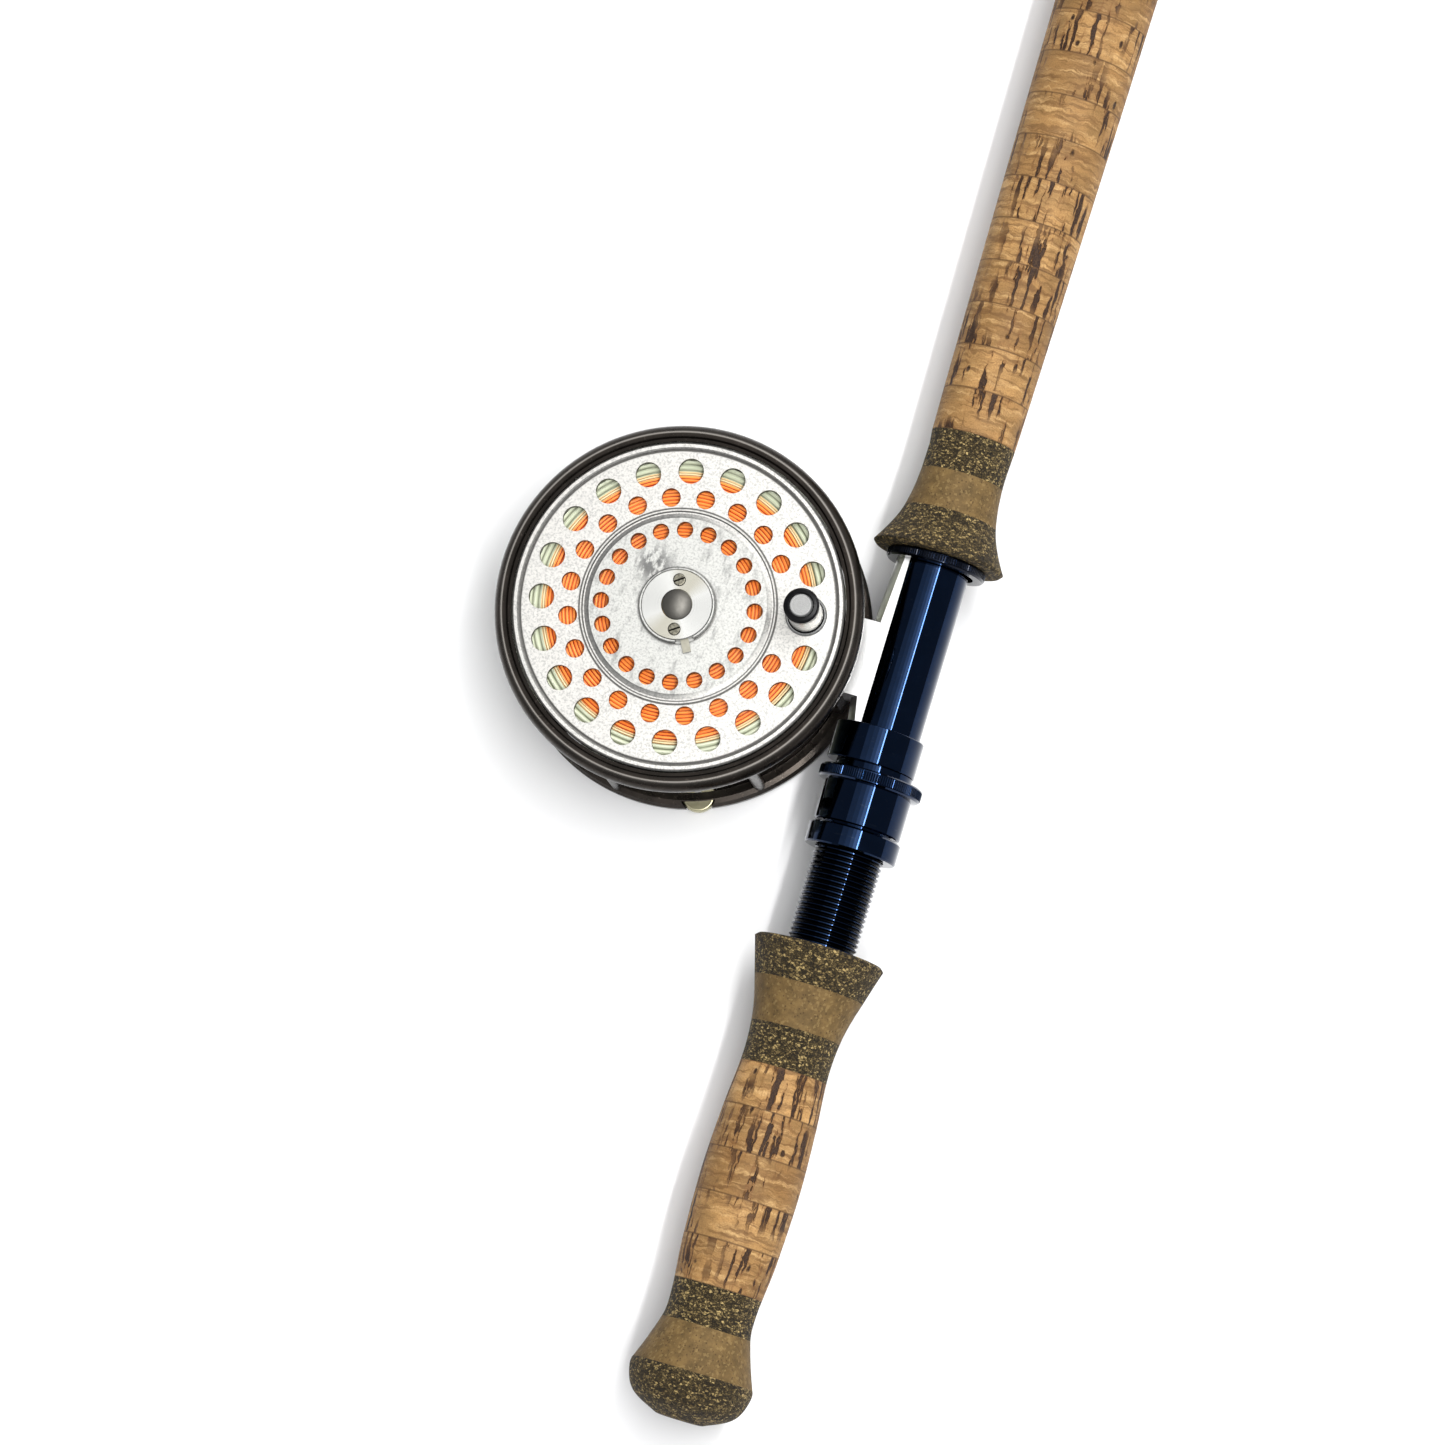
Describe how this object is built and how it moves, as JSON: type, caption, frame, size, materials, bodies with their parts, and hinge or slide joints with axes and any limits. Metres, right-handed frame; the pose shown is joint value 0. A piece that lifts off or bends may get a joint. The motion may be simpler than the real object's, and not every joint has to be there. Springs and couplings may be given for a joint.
{
  "type": "fly fishing rod and reel",
  "caption": "Two-handed fly rod in ferruled sections with cork grips and a screw-locking reel seat, fitted with a click-check fly reel wound with line.",
  "frame": {"origin": "middle of the reel's flat back face, on the reel's spindle axis", "axes": "+Z along the reel's spindle towards the winding handle, +Y along the rod towards its tip, +X from the reel towards the rod"},
  "size_m": [0.1361, 3.6577, 0.0577],
  "materials": {
    "backing": "braided backing",
    "butt_blank": "gloss clear coat over dark blue-grey graphite",
    "butt_stripping_guide_frame": "polished hard chrome",
    "butt_stripping_guide_ring": "polished",
    "butt_thread_wraps": "thread under epoxy",
    "cap_screws": "turned",
    "check_pawl": "hardened",
    "check_posts": "turned",
    "check_spring": "blued spring steel",
    "drag_axle": "turned",
    "drag_wheel": "nickel-washed, worn",
    "fixed_hood": "gloss dark blue anodised",
    "foot_screws": "turned",
    "fore_grip_burl_rings": "sanded dark burl cork",
    "fore_grip_cork_rings": "sanded natural cork",
    "fore_grip_flare": "sanded dark burl cork",
    "fore_grip_tan_rings": "sanded tan composite cork",
    "fore_grip_tip_ring": "sanded tan composite cork",
    "handle_flange": "satin",
    "handle_knob": "satin turned",
    "handle_pin": "turned",
    "handle_rings": "polished black",
    "head_line_cream": "coated line",
    "head_line_green": "coated line",
    "jam_nut": "gloss dark blue anodised",
    "latch_cap": "polished",
    "latch_lever": "satin",
    "latch_spring": "blued spring steel",
    "lock_nut": "gloss dark blue anodised",
    "lower_grip_burl_rings": "sanded dark burl cork",
    "lower_grip_butt": "sanded dark burl cork",
    "lower_grip_cork_rings": "sanded natural cork",
    "lower_grip_flare": "sanded dark burl cork",
    "lower_grip_tan_rings": "sanded tan composite cork",
    "lower_mid_blank": "gloss clear coat over dark blue-grey graphite",
    "lower_mid_snake_guides": "polished hard chrome",
    "lower_mid_stripping_guide_frame": "polished hard chrome",
    "lower_mid_stripping_guide_ring": "polished",
    "lower_mid_thread_wraps": "thread under epoxy",
    "ratchet_screws": "turned",
    "ratchet_wheel": "hardened",
    "reel_foot": "polished",
    "reel_frame": "satin gunmetal",
    "reel_seat_arbors": "foam",
    "reel_seat_barrel": "gloss dark blue anodised",
    "running_line": "coated line",
    "sliding_hood": "gloss dark blue anodised",
    "spindle": "turned",
    "spool_back": "satin turned",
    "spool_bush": "turned",
    "spool_drum": "satin turned",
    "spool_face": "satin turned",
    "tip_blank": "gloss clear coat over dark blue-grey graphite",
    "tip_snake_guides": "polished hard chrome",
    "tip_thread_wraps": "thread under epoxy",
    "tip_top": "polished hard chrome",
    "upper_mid_blank": "gloss clear coat over dark blue-grey graphite",
    "upper_mid_snake_guides": "polished hard chrome",
    "upper_mid_thread_wraps": "thread under epoxy",
    "winding_check": "gloss anodised"
  },
  "bodies": {
    "butt_section": {"butt_blank": "butt_blank", "butt_stripping_guide_frame": "butt_stripping_guide_frame", "butt_stripping_guide_ring": "butt_stripping_guide_ring", "butt_thread_wraps": "butt_thread_wraps", "lower_grip_flare": "lower_grip_flare", "lower_grip_tan_rings": "lower_grip_tan_rings", "lower_grip_burl_rings": "lower_grip_burl_rings", "lower_grip_cork_rings": "lower_grip_cork_rings", "lower_grip_butt": "lower_grip_butt", "fore_grip_flare": "fore_grip_flare", "fore_grip_tan_rings": "fore_grip_tan_rings", "fore_grip_burl_rings": "fore_grip_burl_rings", "fore_grip_cork_rings": "fore_grip_cork_rings", "fore_grip_tip_ring": "fore_grip_tip_ring", "winding_check": "winding_check", "reel_seat_barrel": "reel_seat_barrel", "reel_seat_arbors": "reel_seat_arbors", "fixed_hood": "fixed_hood", "reel_frame": "reel_frame", "reel_foot": "reel_foot", "foot_screws": "foot_screws", "spindle": "spindle", "check_posts": "check_posts", "check_spring": "check_spring", "drag_axle": "drag_axle"},
    "spool": {"spool_face": "spool_face", "spool_drum": "spool_drum", "spool_back": "spool_back", "spool_bush": "spool_bush", "backing": "backing", "running_line": "running_line", "head_line_cream": "head_line_cream", "head_line_green": "head_line_green", "ratchet_wheel": "ratchet_wheel", "ratchet_screws": "ratchet_screws", "latch_cap": "latch_cap", "cap_screws": "cap_screws", "latch_spring": "latch_spring", "handle_flange": "handle_flange", "handle_pin": "handle_pin"},
    "latch": {"latch_lever": "latch_lever"},
    "winding_knob": {"handle_knob": "handle_knob", "handle_rings": "handle_rings"},
    "pawl": {"check_pawl": "check_pawl"},
    "drag_adjuster": {"drag_wheel": "drag_wheel"},
    "hood": {"sliding_hood": "sliding_hood"},
    "lock_nuts": {"lock_nut": "lock_nut", "jam_nut": "jam_nut"},
    "lower_mid_section": {"lower_mid_blank": "lower_mid_blank", "lower_mid_stripping_guide_frame": "lower_mid_stripping_guide_frame", "lower_mid_stripping_guide_ring": "lower_mid_stripping_guide_ring", "lower_mid_snake_guides": "lower_mid_snake_guides", "lower_mid_thread_wraps": "lower_mid_thread_wraps"},
    "upper_mid_section": {"upper_mid_blank": "upper_mid_blank", "upper_mid_snake_guides": "upper_mid_snake_guides", "upper_mid_thread_wraps": "upper_mid_thread_wraps"},
    "tip_section": {"tip_blank": "tip_blank", "tip_snake_guides": "tip_snake_guides", "tip_thread_wraps": "tip_thread_wraps", "tip_top": "tip_top"}
  },
  "joints": [
    {"name": "spool_spin", "type": "hinge", "parent": "butt_section", "child": "spool", "pos_m": [0, 0, 0.02], "axis": [0, 0, 1], "continuous": true},
    {"name": "knob_spin", "type": "hinge", "parent": "spool", "child": "winding_knob", "pos_m": [0.03578, 0.00721, 0.048], "axis": [0, 0, 1], "continuous": true},
    {"name": "latch_turn", "type": "hinge", "parent": "spool", "child": "latch", "pos_m": [-0.00135, 0.00697, 0.0425], "axis": [0, 0, 1], "range_deg": [0, 3.6], "stiffness_Nm_per_rad": 0.05, "springref_deg": -5.73},
    {"name": "pawl_rock", "type": "hinge", "parent": "butt_section", "child": "pawl", "pos_m": [0.00749, -0.02175, 0.0048], "axis": [0, 0, 1], "range_deg": [-1.5, 1.5], "stiffness_Nm_per_rad": 0.02},
    {"name": "drag_turn", "type": "hinge", "parent": "butt_section", "child": "drag_adjuster", "pos_m": [0.01563, -0.04538, 0.004], "axis": [0, 0, 1], "range_deg": [-135, 135]},
    {"name": "hood_slide", "type": "slide", "parent": "butt_section", "child": "hood", "axis": [0, -1, 0], "range_m": [0, 0.015]},
    {"name": "lock_nut_spin", "type": "hinge", "parent": "hood", "child": "lock_nuts", "pos_m": [0.0644, -0.035, 0.0215], "axis": [0, -1, 0], "range_deg": [0, 3600]},
    {"name": "lower_mid_ferrule", "type": "slide", "parent": "butt_section", "child": "lower_mid_section", "axis": [0, 1, 0], "range_m": [0, 0.061]},
    {"name": "upper_mid_ferrule", "type": "slide", "parent": "lower_mid_section", "child": "upper_mid_section", "axis": [0, 1, 0], "range_m": [0, 0.061]},
    {"name": "tip_ferrule", "type": "slide", "parent": "upper_mid_section", "child": "tip_section", "axis": [0, 1, 0], "range_m": [0, 0.061]}
  ],
  "couplings": [
    {"joint": "hood_slide", "follows": "lock_nut_spin", "m_per_rad": 0.00023873}
  ]
}
